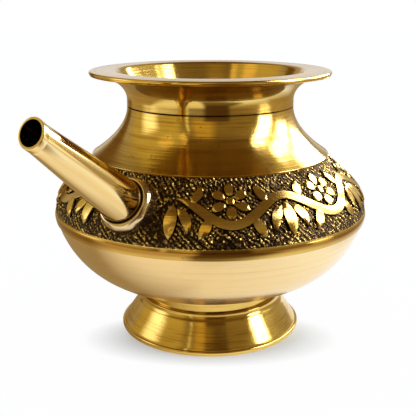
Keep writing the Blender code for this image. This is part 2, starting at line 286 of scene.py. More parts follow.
def turned_brass(
    name,
    bright,
    deep,
    roughness,
    mark_depth,
    fineness=LATHE_FINENESS,
    axis_place=None,
    dirty_z=None,
    lines=lathe_lines,
):
    """Brass as it leaves the maker's tools: colour and gloss follow their marks and the tarnish.
    axis_place is the (seat, turn) of an axis that isn't the pot's own, dirty_z a joint's height."""
    material = bpy.data.materials.new(name)
    material.use_nodes = True
    tree = material.node_tree
    shader = tree.nodes["Principled BSDF"]
    shader.inputs["Metallic"].default_value = 1.0
    place = add(tree, "ShaderNodeTexCoord").outputs["Object"]
    if axis_place:
        on_axis = {"Vector": place, "Location": axis_place[0], "Rotation": axis_place[1]}
        place = add(tree, "ShaderNodeMapping", on_axis, vector_type="TEXTURE").outputs[0]
    marks = add(tree, "ShaderNodeGroup", node_tree=lines)
    stain = add(tree, "ShaderNodeGroup", node_tree=tarnish)
    tree.links.new(place, marks.inputs["Position"])
    tree.links.new(place, stain.inputs["Position"])
    marks.inputs["Fineness"].default_value = fineness
    stain.inputs["Scale"].default_value = STAIN_SCALE
    worn = math_node(tree, "MULTIPLY", stain.outputs["Clouds"], STAIN_SHARE)
    crossed = math_node(tree, "MULTIPLY", marks.outputs["Lines"], marks.outputs["Bands"])
    lined = math_node(tree, "MULTIPLY", crossed, MARK_SHARE)
    share = math_node(tree, "MAXIMUM", math_node(tree, "ADD", worn, lined), stain.outputs["Specks"])
    colour = mixed(tree, math_node(tree, "MINIMUM", share, 1.0), (*bright, 1.0), (*deep, 1.0))
    if dirty_z:
        height = parts_of(tree, place)[2]
        off_joint = math_node(tree, "ABSOLUTE", math_node(tree, "SUBTRACT", height, dirty_z))
        wander = math_node(tree, "MULTIPLY", stain.outputs["Clouds"], JOINT_GAP)
        uneven = math_node(tree, "ADD", off_joint, wander)
        colour = mixed(tree, spread(tree, uneven, DIRT_FULL, DIRT_CLEAR), JOINT_DIRT, colour)
    tree.links.new(colour, shader.inputs["Base Color"])
    gloss_range = (roughness * GLOSSIEST, roughness * DULLEST)
    gloss = spread(tree, marks.outputs["Lines"], 0.0, 1.0, *gloss_range)
    dulling = math_node(tree, "MULTIPLY", stain.outputs["Clouds"], STAIN_DULLING)
    dulled = math_node(tree, "ADD", gloss, dulling)
    tree.links.new(dulled, shader.inputs["Roughness"])
    ridges = math_node(tree, "ADD", marks.outputs["Lines"], marks.outputs["Bands"])
    bump = add(tree, "ShaderNodeBump", {"Strength": 1.0, "Distance": mark_depth, "Height": ridges})
    tree.links.new(bump.outputs[0], shader.inputs["Normal"])
    if not axis_place:
        shader.inputs["Anisotropic"].default_value = LATHE_GRAIN
        shader.inputs["Anisotropic Rotation"].default_value = GRAIN_TURN
        grain = add(tree, "ShaderNodeTangent", direction_type="RADIAL", axis="Z")
        tree.links.new(grain.outputs[0], shader.inputs["Tangent"])
    return material


# The outer curve of the bowl, which the foot's seat is turned to
bowl_low, bowl_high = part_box("bowl")
SEAM_RADIUS = bowl_high[0]
SEAM_Z = 0.0516
BOWL_TOP_PULL = (-0.0010, -0.0030)
BOWL_FOOT_PULL = (0.0295, 0.0036)
BOWL_FOOT = (0.0305, 0.0214)
BOWL_BOTTOM_Z = bowl_low[2]
BOWL_STEPS = 40
BOTTOM_STEPS = 12
foot_slope = BOWL_FOOT_PULL[1] / BOWL_FOOT_PULL[0]
bottom_run = (BOWL_FOOT[1] - BOWL_BOTTOM_Z) / foot_slope
bottom_pull = (-bottom_run, -bottom_run * foot_slope)
bowl_side = curve((SEAM_RADIUS, SEAM_Z), BOWL_TOP_PULL, BOWL_FOOT_PULL, BOWL_FOOT, BOWL_STEPS)
bowl_bottom = curve(BOWL_FOOT, bottom_pull, (bottom_run, 0), (0, BOWL_BOTTOM_Z), BOTTOM_STEPS)
bowl_skin = bowl_side + bowl_bottom[1:]

cone_top_z = FOOT_LIP_HEIGHT + FOOT_CONE_HEIGHT
ledge_z = cone_top_z + FOOT_HOLLOW_HEIGHT
ledge_centre = (FOOT_LEDGE_RADIUS - FOOT_LEDGE_ROUND, ledge_z - FOOT_LEDGE_ROUND)
hollow_skin = curve(
    (FOOT_LEDGE_RADIUS, ledge_centre[1]),
    FOOT_HOLLOW_TOP_PULL,
    FOOT_HOLLOW_LOW_PULL,
    (FOOT_CONE_TOP_RADIUS, cone_top_z),
    HOLLOW_STEPS,
)
cone_skin = [
    (
        FOOT_CONE_TOP_RADIUS + (FOOT_CONE_LOW_RADIUS - FOOT_CONE_TOP_RADIUS) * i / CONE_STEPS,
        cone_top_z - FOOT_CONE_HEIGHT * i / CONE_STEPS,
    )
    for i in range(CONE_STEPS + 1)
]
lip_centre = FOOT_LIP_RADIUS - FOOT_LIP_ROUND
face_inner = lip_centre - FOOT_FACE_WIDTH
groove_radius = FOOT_COLLAR_RADIUS + FOOT_GROOVE
bowl_seat = inset(bowl_skin, -JOINT_GAP)
underside = inset(hollow_skin + cone_skin[1:], FOOT_WALL)[::-1]
foot_outline = (
    [(FOOT_COLLAR_RADIUS, height_at(bowl_seat, FOOT_COLLAR_RADIUS))]
    + [(FOOT_COLLAR_RADIUS, ledge_z - FOOT_GROOVE), (groove_radius, ledge_z - FOOT_GROOVE)]
    + [(groove_radius, ledge_z)]
    + arc(ledge_centre, FOOT_LEDGE_ROUND, FOOT_LEDGE_ROUND, 90, 0, 6)
    + hollow_skin[1:-1]
    + [(FOOT_CONE_TOP_RADIUS, cone_top_z + FOOT_GROOVE / 2)]
    + [(FOOT_CONE_TOP_RADIUS + FOOT_GROOVE / 2, cone_top_z)]
    + cone_skin[1:]
    + [(FOOT_CONE_LOW_RADIUS, FOOT_LIP_HEIGHT - FOOT_GROOVE)]
    + [(lip_centre - FOOT_GROOVE, FOOT_LIP_HEIGHT)]
    + arc((lip_centre, FOOT_LIP_HEIGHT - FOOT_LIP_ROUND), FOOT_LIP_ROUND, FOOT_LIP_ROUND, 90, 0, 6)
    + arc((lip_centre, FOOT_LIP_ROUND), FOOT_LIP_ROUND, FOOT_LIP_ROUND, 0, -90, 6)
    + [(face_inner, 0)]
    + [p for p in underside if p[0] < face_inner]
    + [(FOOT_COLLAR_BORE, ledge_z), (FOOT_COLLAR_BORE, height_at(bowl_seat, FOOT_COLLAR_BORE))]
)
foot_ring = spin_outline("foot_ring_turned", foot_outline)
YELLOW_BRIGHT, YELLOW_DEEP = (0.87, 0.62, 0.17), (0.47, 0.26, 0.045)
YELLOW_ROUGHNESS = 0.13
LATHE_MARK_DEPTH = 0.000012
yellow_brass = turned_brass(
    "yellow_brass", YELLOW_BRIGHT, YELLOW_DEEP, YELLOW_ROUGHNESS, LATHE_MARK_DEPTH
)
finish_piece(foot_ring, yellow_brass, "polished_brass", "foot_ring")

# Bowl: the lower half of the body, spun from thin brass sheet and left pale and satin.
# Its joggled lip slips up inside the shoulder and is brazed there, just behind the shoulder's ridge.

BOWL_WALL = 0.0012
SEAM_FACE = 0.0013
LIP_HEIGHT = 0.0046
lip_radius = SEAM_RADIUS - SEAM_FACE - JOINT_GAP
lip_bore = lip_radius - BOWL_WALL
joggle_z = SEAM_Z - BOWL_WALL
bowl_inner = inset(bowl_skin, BOWL_WALL)
bowl_inner[-1] = (0, BOWL_BOTTOM_Z + BOWL_WALL)
bowl_outline = (
    [p for p in bowl_inner if p[1] < joggle_z - BOWL_WALL][::-1]
    + [(lip_bore, joggle_z), (lip_bore, SEAM_Z + LIP_HEIGHT), (lip_radius, SEAM_Z + LIP_HEIGHT)]
    + [(lip_radius, SEAM_Z)]
    + bowl_skin
)
bowl = spin_outline("bowl_spun", bowl_outline)
PALE_BRIGHT, PALE_DEEP = (0.93, 0.71, 0.355), (0.88, 0.645, 0.29)
SATIN_ROUGHNESS = 0.19
SATIN_MARK_DEPTH = 0.0000018
pale_brass = turned_brass("pale_brass", PALE_BRIGHT, PALE_DEEP, SATIN_ROUGHNESS, SATIN_MARK_DEPTH)
finish_piece(bowl, pale_brass, "pale_brass", "bowl")

# Shoulder: the upper half of the body, cast and turned, with the ornament band round it over a plain
# ridge. The band's ground is sunk and punched all over between its two edges, then blackened and
# rubbed back.

_, shoulder_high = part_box("shoulder")
NECK_RADIUS = 0.0356
NECK_WALL = 0.0013
NECK_JOINT_Z = shoulder_high[2]
SHOULDER_WALL = 0.0017
SHOULDER_TOP_PULL = (0, -0.00845)
SHOULDER_LOW_PULL = (-0.0061, 0.0040)
BAND_TOP = (0.0510, 0.0793)
BAND_TOP_PULL = (0.0024, -0.0066)
BAND_LOW_PULL = (0.0014, 0.0113)
BAND_LOW = (0.0676, 0.0556)
RIDGE_TOP_PULL = (0.0006, -0.0012)
RIDGE_LOW_PULL = (0.0003, 0.0016)
RIDGE_STEP = 0.0005
BRAZE_FILM = 0.00004
BAND_EDGE = 0.0001
GROUND_DEPTH = 0.0010
GROUND_LEAST_SHARE = 0.1
GROUND_RUN_OUT = 0.0030
GROUND_SLACK = 0.0002
GROUND_STEPS = 17
SHOULDER_STEPS = 240
GROUND_CUTS = 3
BAND_STEPS = 120
HOLLOW_CURVE_STEPS = 32
RIDGE_STEPS = 14
INNER_STRIDE = 10
PUNCH_DEPTH = 0.0008

band_curve = curve(BAND_TOP, BAND_TOP_PULL, BAND_LOW_PULL, BAND_LOW, BAND_STEPS)
band_run = [0.0]
for a, b in zip(band_curve, band_curve[1:]):
    band_run.append(band_run[-1] + math.dist(a, b))
BAND_WIDTH = band_run[-1]
BAND_MIDDLE_RADIUS = (BAND_TOP[0] + BAND_LOW[0]) / 2


def clamped(value, low=0.0, high=1.0):
    """The value, or the end of its range that it would pass."""
    return min(max(value, low), high)


def band_spot(down, lift):
    """Point (radius, height) at a distance down the band from its top edge, lifted off its skin."""
    i = clamped(sum(run < down for run in band_run), 1, len(band_run) - 1)
    a, b = Vector(band_curve[i - 1]), Vector(band_curve[i])
    share = (down - band_run[i - 1]) / (band_run[i] - band_run[i - 1])
    run = (b - a).normalized()
    spot = a + share * (b - a) + lift * Vector((-run.y, run.x))
    return spot.x, spot.y


ground_top, ground_low = BAND_EDGE, BAND_WIDTH - BAND_EDGE


def ground_depth(down):
    """How far the ground is sunk: full depth from the top edge on, running out at the low edge."""
    return GROUND_DEPTH * clamped((ground_low - down) / GROUND_RUN_OUT, GROUND_LEAST_SHARE)


ground_skin = []
for i in range(GROUND_STEPS + 1):
    down = ground_top + (ground_low - ground_top) * i / GROUND_STEPS
    ground_skin.append(band_spot(down, -ground_depth(down)))
lap_bore = SEAM_RADIUS - SEAM_FACE
shoulder_low_z = SEAM_Z + BRAZE_FILM
lap_top_z = SEAM_Z + LIP_HEIGHT + JOINT_GAP
shoulder_skin = curve(
    (NECK_RADIUS, NECK_JOINT_Z), SHOULDER_TOP_PULL, SHOULDER_LOW_PULL, BAND_TOP, HOLLOW_CURVE_STEPS
)
ridge_foot = (SEAM_RADIUS + RIDGE_STEP, shoulder_low_z)
ridge_skin = curve(BAND_LOW, RIDGE_TOP_PULL, RIDGE_LOW_PULL, ridge_foot, RIDGE_STEPS)
inner_skin = inset(shoulder_skin + band_curve[INNER_STRIDE::INNER_STRIDE], SHOULDER_WALL)
inner_skin[0] = (NECK_RADIUS - NECK_WALL, NECK_JOINT_Z)
shoulder_outline = (
    shoulder_skin
    + [band_spot(ground_top, 0)]
    + ground_skin
    + [band_spot(ground_low, 0)]
    + ridge_skin
    + [(lap_bore, shoulder_low_z), (lap_bore, lap_top_z)]
    + [p for p in inner_skin if p[1] > lap_top_z + SHOULDER_WALL][::-1]
)
shoulder = spin_outline("shoulder_turned", shoulder_outline, SHOULDER_STEPS)

# The hole that the spout passes, on an axis that leaves the band's skin at the spout's seat
SPOUT_ELEVATION = math.radians(35.5)
SPOUT_SEAT_Z = 0.0686
SPOUT_ROOT_RADIUS = 0.0085
SPOUT_STEPS = 96
BORE_REACH = 0.0080
spout_axis = Vector((0, -math.cos(SPOUT_ELEVATION), math.sin(SPOUT_ELEVATION)))
spout_seat = Vector((0, -radius_at(band_curve, SPOUT_SEAT_Z), SPOUT_SEAT_Z))
spout_turn = (math.pi / 2 - SPOUT_ELEVATION, 0, 0)
bore_radius = SPOUT_ROOT_RADIUS + JOINT_GAP
bore_outline = [(0, BORE_REACH), (bore_radius, BORE_REACH)]
bore_outline += [(bore_radius, -BORE_REACH), (0, -BORE_REACH)]


def cut_away(piece, cutter):
    """Cuts one mesh out of another and removes the cutter."""
    bpy.context.view_layer.objects.active = piece
    boolean = piece.modifiers.new("cut", "BOOLEAN")
    boolean.operation = "DIFFERENCE"
    boolean.solver = "EXACT"
    boolean.object = cutter
    bpy.ops.object.modifier_apply(modifier="cut")
    bpy.data.objects.remove(cutter, do_unlink=True)


cut_away(shoulder, spin_outline("spout_bore", bore_outline, SPOUT_STEPS, spout_seat, spout_axis))


def band_place(spot):
    """Where a point lies on the band: its distance round it from the spout, and down it, in metres."""
    round_angle = math.atan2(spot.x, -spot.y)
    height = clamped(spot.z, BAND_LOW[1], BAND_TOP[1])
    i = next(i for i, p in enumerate(band_curve) if p[1] <= height)
    return round_angle * BAND_MIDDLE_RADIUS, band_run[i]


# The punch's rows, beads and lumps are so far apart, in mm, and wander and wear over such lengths
ROW_SPACING, BEAD_SPACING, LUMP_SPACING = 2.3, 2.1, 1.5
ROW_WANDER, BEAD_WANDER, LUMP_WANDER = 6.0, 3.0, 2.0
ROWS_LENGTH, WEAR_LENGTH = 9.0, 2.3
ROW_STAGGER = 0.4
BETWEEN_BEADS = 0.35
ROWS_SHARE = 0.68


def punch_marks(across, down):
    """Height from 0 to 1 of the punched ground: slanting rows of beads, with loose lumps in places."""
    place = Vector((across, down, 0)) * 1000
    drift = noise.noise(place / ROW_WANDER)
    row = (place.x - place.y) / ROW_SPACING + 0.8 * drift
    ridge = (0.5 + 0.5 * math.cos(math.tau * row)) ** 0.8
    bead_drift = 1.1 * noise.noise(place / BEAD_WANDER + Vector((4, 8, 2)))
    along = (place.x + place.y) / BEAD_SPACING + ROW_STAGGER * math.floor(row + 0.5) + bead_drift
    bead = 0.5 + 0.5 * math.cos(math.tau * along)
    rows = ridge * (BETWEEN_BEADS + (1 - BETWEEN_BEADS) * bead)
    lump_drift = 1.2 * Vector((drift, noise.noise(place / LUMP_WANDER), 0))
    near = noise.voronoi((place + lump_drift) / LUMP_SPACING)[0]
    lumps = clamped(1.5 * (near[1] - near[0]))
    share = clamped(ROWS_SHARE + 2.4 * noise.noise(place / ROWS_LENGTH + Vector((2, 9, 1))))
    worn = 0.85 + 0.5 * noise.noise(place / WEAR_LENGTH + Vector((7, 3, 5)))
    return clamped((share * rows + (1 - share) * lumps) * worn)


mesh = shoulder.data
for polygon in mesh.polygons:
    radius = math.hypot(polygon.center.x, polygon.center.y)
    on_ground = ground_skin[-1][1] < polygon.center.z < ground_skin[0][1]
    outside = on_ground and abs(radius - radius_at(ground_skin, polygon.center.z)) < GROUND_SLACK
    polygon.select = outside and len(polygon.vertices) == 4
for edge in mesh.edges:
    edge.select = False
for vertex in mesh.vertices:
    vertex.select = False
bpy.ops.object.select_all(action="DESELECT")
shoulder.select_set(True)
bpy.context.view_layer.objects.active = shoulder
bpy.ops.object.mode_set(mode="EDIT")
bpy.ops.mesh.select_mode(type="FACE")
bpy.ops.mesh.subdivide(number_cuts=GROUND_CUTS)
bpy.ops.mesh.select_less()
bpy.ops.object.mode_set(mode="OBJECT")
punched = shoulder.vertex_groups.new(name="punched")
heights = [1.0] * len(mesh.vertices)
for vertex in mesh.vertices:
    if vertex.select:
        across, down = band_place(vertex.co)
        heights[vertex.index] = punch_marks(across, down)
        depth_share = ground_depth(down) / GROUND_DEPTH
        punched.add([vertex.index], heights[vertex.index] * depth_share, "REPLACE")
raised = shoulder.modifiers.new("punch", "DISPLACE")
raised.direction = "NORMAL"
raised.vertex_group = "punched"
raised.strength = PUNCH_DEPTH
raised.mid_level = 0.0
bpy.ops.object.modifier_apply(modifier="punch")
grain = shoulder.data.attributes.new("grain", "FLOAT", "POINT")
sunk = shoulder.data.attributes.new("ground", "FLOAT", "POINT")
grain.data.foreach_set("value", heights)
sunk.data.foreach_set("value", [float(v.select) for v in shoulder.data.vertices])

BLACKENED = (0.028, 0.017, 0.008, 1.0)
GROUND_BROWN = (0.17, 0.105, 0.042, 1.0)
# Painted shade on the ridge: a dark brown band over its middle, fading out towards the band above and
# the seam below. It stands in for the dark reflection of the room that the ridge shows.
RIDGE_PAINTED_SHADE = (0.44, 0.225, 0.042, 1.0)
RIDGE_SHADE_RUN = 0.0012
RIDGE_SHADE_START, RIDGE_SHADE_FULL = SEAM_Z + 0.0004, SEAM_Z + 0.0020
ANTIQUE_BRIGHT, ANTIQUE_DEEP = (0.86, 0.61, 0.16), (0.45, 0.25, 0.042)
ANTIQUE_ROUGHNESS = 0.12
ANTIQUE_MARK_DEPTH = 0.000014
GRIT_SCALE, GRIT_DEPTH, GRIT_SHARE = 900.0, 0.00010, 0.4
HATCH_SCALE, HATCH_DEPTH, HATCH_SHARE = 300.0, 0.00024, 0.50
HATCH_WAVER = {"Distortion": 5.5, "Detail": 3.0, "Detail Scale": 1.1}
BEAD_SCALE, HATCHED_PLACES_SCALE = 1250.0, 120.0
GRAIN_SHARE = 0.72
SUNK_ROUGHNESS, RUBBED_ROUGHNESS = 0.42, 0.20
neck_joint_middle = NECK_JOINT_Z + JOINT_GAP / 2
antique_brass = turned_brass(
    "antique_brass",
    ANTIQUE_BRIGHT,
    ANTIQUE_DEEP,
    ANTIQUE_ROUGHNESS,
    ANTIQUE_MARK_DEPTH,
    dirty_z=neck_joint_middle,
)
tree = antique_brass.node_tree
shader = tree.nodes["Principled BSDF"]
grain_height = add(tree, "ShaderNodeAttribute", attribute_name="grain").outputs["Fac"]
in_ground = add(tree, "ShaderNodeAttribute", attribute_name="ground").outputs["Fac"]
object_place = add(tree, "ShaderNodeTexCoord").outputs["Object"]
grit = clouded(tree, object_place, GRIT_SCALE)
spots = parts_of(tree, object_place)
round_angle = math_node(tree, "ARCTAN2", spots[0], math_node(tree, "MULTIPLY", spots[1], -1.0))
across = math_node(tree, "MULTIPLY", round_angle, BAND_MIDDLE_RADIUS)
on_band = place_of(tree, across, spots[2])
chisel_rows = add(
    tree,
    "ShaderNodeTexWave",
    {"Vector": on_band, "Scale": HATCH_SCALE, **HATCH_WAVER},
    wave_type="BANDS",
    bands_direction="DIAGONAL",
).outputs["Fac"]
beads = spread(tree, clouded(tree, on_band, BEAD_SCALE, 1.0), 0.38, 0.60, 0.1)
hatched_places = clouded(tree, on_band, HATCHED_PLACES_SCALE, 1.0)
hatched_places = spread(tree, hatched_places, 0.40, 0.56, 0.55)
row_share = math_node(tree, "MULTIPLY", beads, hatched_places)
hatch = math_node(tree, "MULTIPLY", chisel_rows, row_share)
speckle = math_node(tree, "MULTIPLY", math_node(tree, "SUBTRACT", grit, 0.5), GRIT_SHARE)
hatched = math_node(tree, "ADD", math_node(tree, "MULTIPLY", hatch, HATCH_SHARE), speckle)
rubbed = math_node(tree, "ADD", math_node(tree, "MULTIPLY", grain_height, GRAIN_SHARE), hatched)
brown = mixed(tree, spread(tree, rubbed, 0.22, 0.48), BLACKENED, GROUND_BROWN)
bare_share = spread(tree, rubbed, 0.46, 0.62)
# Painted shade: the ridge's middle is darkened here, standing in for its dark reflection
under_band = spread(tree, spots[2], BAND_LOW[1], BAND_LOW[1] - RIDGE_SHADE_RUN)
over_edge = spread(tree, spots[2], RIDGE_SHADE_START, RIDGE_SHADE_FULL)
ridge_shade_share = math_node(tree, "MULTIPLY", under_band, over_edge)
turned_colour = shader.inputs["Base Color"].links[0].from_socket
plain_colour = mixed(tree, ridge_shade_share, turned_colour, RIDGE_PAINTED_SHADE)
plain_gloss = shader.inputs["Roughness"].links[0].from_socket
ground_colour = mixed(tree, bare_share, brown, plain_colour)
tree.links.new(mixed(tree, in_ground, plain_colour, ground_colour), shader.inputs["Base Color"])
ground_gloss = spread(tree, bare_share, 0.0, 1.0, SUNK_ROUGHNESS, RUBBED_ROUGHNESS)
gloss_step = math_node(tree, "SUBTRACT", ground_gloss, plain_gloss)
gloss_step = math_node(tree, "MULTIPLY", in_ground, gloss_step)
tree.links.new(math_node(tree, "ADD", plain_gloss, gloss_step), shader.inputs["Roughness"])
bump = shader.inputs["Normal"].links[0].from_node
grit_height = math_node(tree, "MULTIPLY", grit, GRIT_DEPTH)
hatch_height = math_node(tree, "MULTIPLY", hatch, HATCH_DEPTH)
marks_height = math_node(tree, "ADD", grit_height, hatch_height)
marks_height = math_node(tree, "MULTIPLY", marks_height, in_ground)
on_turned = {"Strength": 1.0, "Distance": 1.0, "Height": marks_height, "Normal": bump.outputs[0]}
rough_ground = add(tree, "ShaderNodeBump", on_turned)
tree.links.new(rough_ground.outputs[0], shader.inputs["Normal"])
finish_piece(shoulder, antique_brass, "antiqued_brass", "shoulder")

# Band ornament: a rolling vine with rosettes and leaves, left standing when the ground is cut away and
# then polished, so its flat tops are level with the band's edges. It is one metal with the shoulder.

VINE_REPEATS = 8
SPOUT_CLEARANCE = 0.0175
ORNAMENT_LIFT = 0.00015
ORNAMENT_ROOT = 0.0006
VINE_WIDTH = 0.0044
VINE_SWING = 0.0056
VINE_CUTS = 26
VINE_END_WIDTH, VINE_END_CUTS = 0.3, 8
LEAF_WIDTH = 0.0044
LEAF_SWELL = (0.35, 0.10, 0.42)
UPPER_LEAF_PLACE, UPPER_LEAF_LENGTH, UPPER_LEAF_LEAN, UPPER_LEAF_BEND = 0.0062, 0.0098, 38, 25
LOWER_LEAF_PLACE, LOWER_LEAF_LENGTH, LOWER_LEAF_LEAN, LOWER_LEAF_BEND = 0.0134, 0.0100, 14, 18
CREST_LEAF_PLACE, CREST_LEAF_LENGTH, CREST_LEAF_WIDTH = 0.0024, 0.0146, 0.0054
SIDE_LEAF_PLACE, SIDE_LEAF_LENGTH, SIDE_LEAF_LEAN, SIDE_LEAF_BEND = 0.0016, 0.0124, 50, 56
SIDE_LEAF_RISE = 0.0012
ROSETTE_PLACE, ROSETTE_REACH = 0.0046, 0.0080
BAR_ROUNDING = 3
PETALS = 6
PETAL_START, PETAL_LENGTH, PETAL_WIDTH, PETAL_CUTS = 0.30, 0.74, 0.58, 7
PETAL_SWELL = (0.40, 0.14, 0.5)
BOSS_REACH, BOSS_EDGE, BOSS_CUTS = 0.24, 0.12, 8

half_round = math.pi * BAND_MIDDLE_RADIUS
vine_length = 2 * (half_round - SPOUT_CLEARANCE)
repeat_length = vine_length / VINE_REPEATS
relief = GROUND_DEPTH + ORNAMENT_LIFT
band_middle = BAND_WIDTH / 2
strokes = []


def stroke(path, widths):
    """A raised bar along a path on the unrolled band, as wide as the widths say, with a flat top."""
    bpy.ops.object.select_all(action="DESELECT")
    bpy.ops.curve.primitive_nurbs_path_add()
    bar = bpy.context.object
    bar.data.splines.clear()
    line = bar.data.splines.new("POLY")
    line.points.add(len(path) - 1)
    for point, (across, down), width in zip(line.points, path, widths):
        point.co = (across, down, 0, 1)
        point.radius = width
    bar.data.bevel_depth = 0.5
    bar.data.bevel_resolution = BAR_ROUNDING
    bar.data.use_fill_caps = True
    bpy.ops.object.convert(target="MESH")
    strokes.append(bpy.context.object)


def swell(count, widest, start, end, peak):
    """Widths along a leaf or petal: from a narrow start to its widest place and down to its tip."""
    widths = []
    for i in range(count):
        t = i / (count - 1)
        before_peak = t < peak
        to_peak = t / peak if before_peak else (1 - t) / (1 - peak)
        ends = start if before_peak else end
        widths.append(widest * (ends + (1 - ends) * math.sin(math.pi / 2 * to_peak)))
    return widths


def vine_down(along):
    """Distance down the band of the vine's middle line."""
    return band_middle - VINE_SWING * math.cos(math.tau * along / repeat_length)


def leaf(root, heading, length, bend, widest, count=11):
    """A pointed leaf that leaves its root at a heading in degrees and bends as it goes."""
    path = [root]
    for i in range(count - 1):
        angle = math.radians(heading + bend * i / (count - 2))
        step = length / (count - 1)
        path.append((path[-1][0] + step * math.cos(angle), path[-1][1] + step * math.sin(angle)))
    stroke(path, swell(count, widest, *LEAF_SWELL))


def rosette(centre, reach):
    """A flower of like petals round a boss."""
    for k in range(PETALS):
        angle = math.tau * (k + 0.5) / PETALS
        steps = [reach * (PETAL_START + PETAL_LENGTH * i / PETAL_CUTS) for i in range(PETAL_CUTS + 1)]
        path = [(centre[0] + s * math.cos(angle), centre[1] + s * math.sin(angle)) for s in steps]
        stroke(path, swell(len(path), reach * PETAL_WIDTH, *PETAL_SWELL))
    boss = reach * BOSS_REACH
    turns = [math.pi * i / BOSS_CUTS for i in range(BOSS_CUTS + 1)]
    path = [(centre[0] - boss * math.cos(turn), centre[1]) for turn in turns]
    stroke(path, [2 * boss * max(math.sin(turn), BOSS_EDGE) for turn in turns])


vine_start = SPOUT_CLEARANCE
vine_steps = VINE_CUTS * VINE_REPEATS
vine_path, vine_widths = [], []
for i in range(vine_steps + 1):
    along = vine_length * i / vine_steps
    vine_path.append((vine_start + along, vine_down(along)))
    from_end = min(i, vine_steps - i)
    vine_widths.append(VINE_WIDTH * min(1.0, VINE_END_WIDTH + from_end / VINE_END_CUTS))
stroke(vine_path, vine_widths)
for k in range(VINE_REPEATS):
    trough = vine_start + (k + 0.5) * repeat_length
    rosette((trough, band_middle - ROSETTE_PLACE), ROSETTE_REACH)
    for side in (-1, 1):
        upper = trough + side * (repeat_length / 2 - UPPER_LEAF_PLACE)
        lower = trough + side * (repeat_length / 2 - LOWER_LEAF_PLACE)
        upper_root = (upper, vine_down(upper - vine_start))
        lower_root = (lower, vine_down(lower - vine_start))
        upper_lean, lower_lean = -90 - side * UPPER_LEAF_LEAN, 90 - side * LOWER_LEAF_LEAN
        leaf(upper_root, upper_lean, UPPER_LEAF_LENGTH, side * UPPER_LEAF_BEND, LEAF_WIDTH)
        leaf(lower_root, lower_lean, LOWER_LEAF_LENGTH, -side * LOWER_LEAF_BEND, LEAF_WIDTH)
for k in range(VINE_REPEATS + 1):
    crest = vine_start + k * repeat_length
    leaf((crest, band_middle - CREST_LEAF_PLACE), 90, CREST_LEAF_LENGTH, 0, CREST_LEAF_WIDTH)
    for side, has_room in ((-1, k > 0), (1, k < VINE_REPEATS)):
        if has_room:
            side_root = (crest + side * SIDE_LEAF_PLACE, band_middle - SIDE_LEAF_RISE)
            side_lean = 90 - side * SIDE_LEAF_LEAN
            leaf(side_root, side_lean, SIDE_LEAF_LENGTH, side * SIDE_LEAF_BEND, LEAF_WIDTH)

bpy.ops.object.select_all(action="DESELECT")
for bar in strokes:
    bar.select_set(True)
ornament = strokes[0]
bpy.context.view_layer.objects.active = ornament
bpy.ops.object.join()
ornament.name = "band_ornament"
rises = []
for vertex in ornament.data.vertices:
    across, down, rise = vertex.co
    rise = clamped(rise, -ORNAMENT_ROOT, relief)
    rises.append(max(rise, 0.0) / relief)
    lift = rise - GROUND_DEPTH
    radius, height = band_spot(clamped(down, 0.0, BAND_WIDTH), lift)
    angle = across / BAND_MIDDLE_RADIUS
    vertex.co = (radius * math.sin(angle), -radius * math.cos(angle), height)
bpy.ops.object.mode_set(mode="EDIT")
bpy.ops.mesh.select_all(action="SELECT")
bpy.ops.mesh.normals_make_consistent(inside=False)
bpy.ops.object.mode_set(mode="OBJECT")
ornament.data.attributes.new("rise", "FLOAT", "POINT").data.foreach_set("value", rises)
ORNAMENT_BRIGHT, ORNAMENT_DEEP = (0.87, 0.63, 0.19), (0.56, 0.32, 0.06)
ORNAMENT_ROUGHNESS = 0.13
ORNAMENT_MARK_DEPTH = 0.00001
ornament_brass = turned_brass(
    "ornament_brass", ORNAMENT_BRIGHT, ORNAMENT_DEEP, ORNAMENT_ROUGHNESS, ORNAMENT_MARK_DEPTH
)
tree = ornament_brass.node_tree
shader = tree.nodes["Principled BSDF"]
rise = add(tree, "ShaderNodeAttribute", attribute_name="rise").outputs["Fac"]
polished = shader.inputs["Base Color"].links[0].from_socket
rubbed_up = mixed(tree, spread(tree, rise, 0.55, 0.95), BLACKENED, polished)
tree.links.new(rubbed_up, shader.inputs["Base Color"])
finish_piece(ornament, ornament_brass, "antiqued_brass", "shoulder", smooth_angle=40)

# Neck collar: a cast ring with the wide flat rim, turned inside and out. Its spigot drops into the
# shoulder's mouth, and the joint shows as a thin dark line round the neck.

neck_low, neck_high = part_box("neck_collar")
RIM_RADIUS = neck_high[0]
POT_HEIGHT = neck_high[2]
RIM_EDGE = 0.0019
RIM_EDGE_ROUND = 0.0008
RIM_GROOVE = 0.00025
MOUTH_RADIUS = 0.0394
MOUTH_ROUND = 0.0017
MOUTH_DEPTH = 0.0111
MOUTH_TOP_PULL = (-0.0016, -0.0032)
MOUTH_LOW_PULL = (0.0014, 0.0032)
MOUTH_STEPS = 24
FLARE_STEPS = 32
NECK_WAIST_DEPTH = 0.0121
SPIGOT_WALL = 0.0012
neck_bore = NECK_RADIUS - NECK_WALL
spigot_radius = neck_bore - JOINT_GAP
collar_joint_z = NECK_JOINT_Z + JOINT_GAP
flare_centre = (RIM_RADIUS - RIM_EDGE / 2, POT_HEIGHT - NECK_WAIST_DEPTH)
flare_rise = POT_HEIGHT - RIM_EDGE - flare_centre[1]
edge_low_z = POT_HEIGHT - RIM_EDGE
groove_z = edge_low_z + 2 * RIM_GROOVE
mouth_slope = math.atan2(-MOUTH_TOP_PULL[0], -MOUTH_TOP_PULL[1])
mouth_top = (MOUTH_RADIUS, POT_HEIGHT - MOUTH_ROUND * (1 - math.sin(mouth_slope)))
mouth_centre = (MOUTH_RADIUS + MOUTH_ROUND * math.cos(mouth_slope), POT_HEIGHT - MOUTH_ROUND)
mouth_low = (neck_bore, POT_HEIGHT - MOUTH_DEPTH)
edge_centre = (RIM_RADIUS - RIM_EDGE_ROUND, POT_HEIGHT - RIM_EDGE_ROUND)
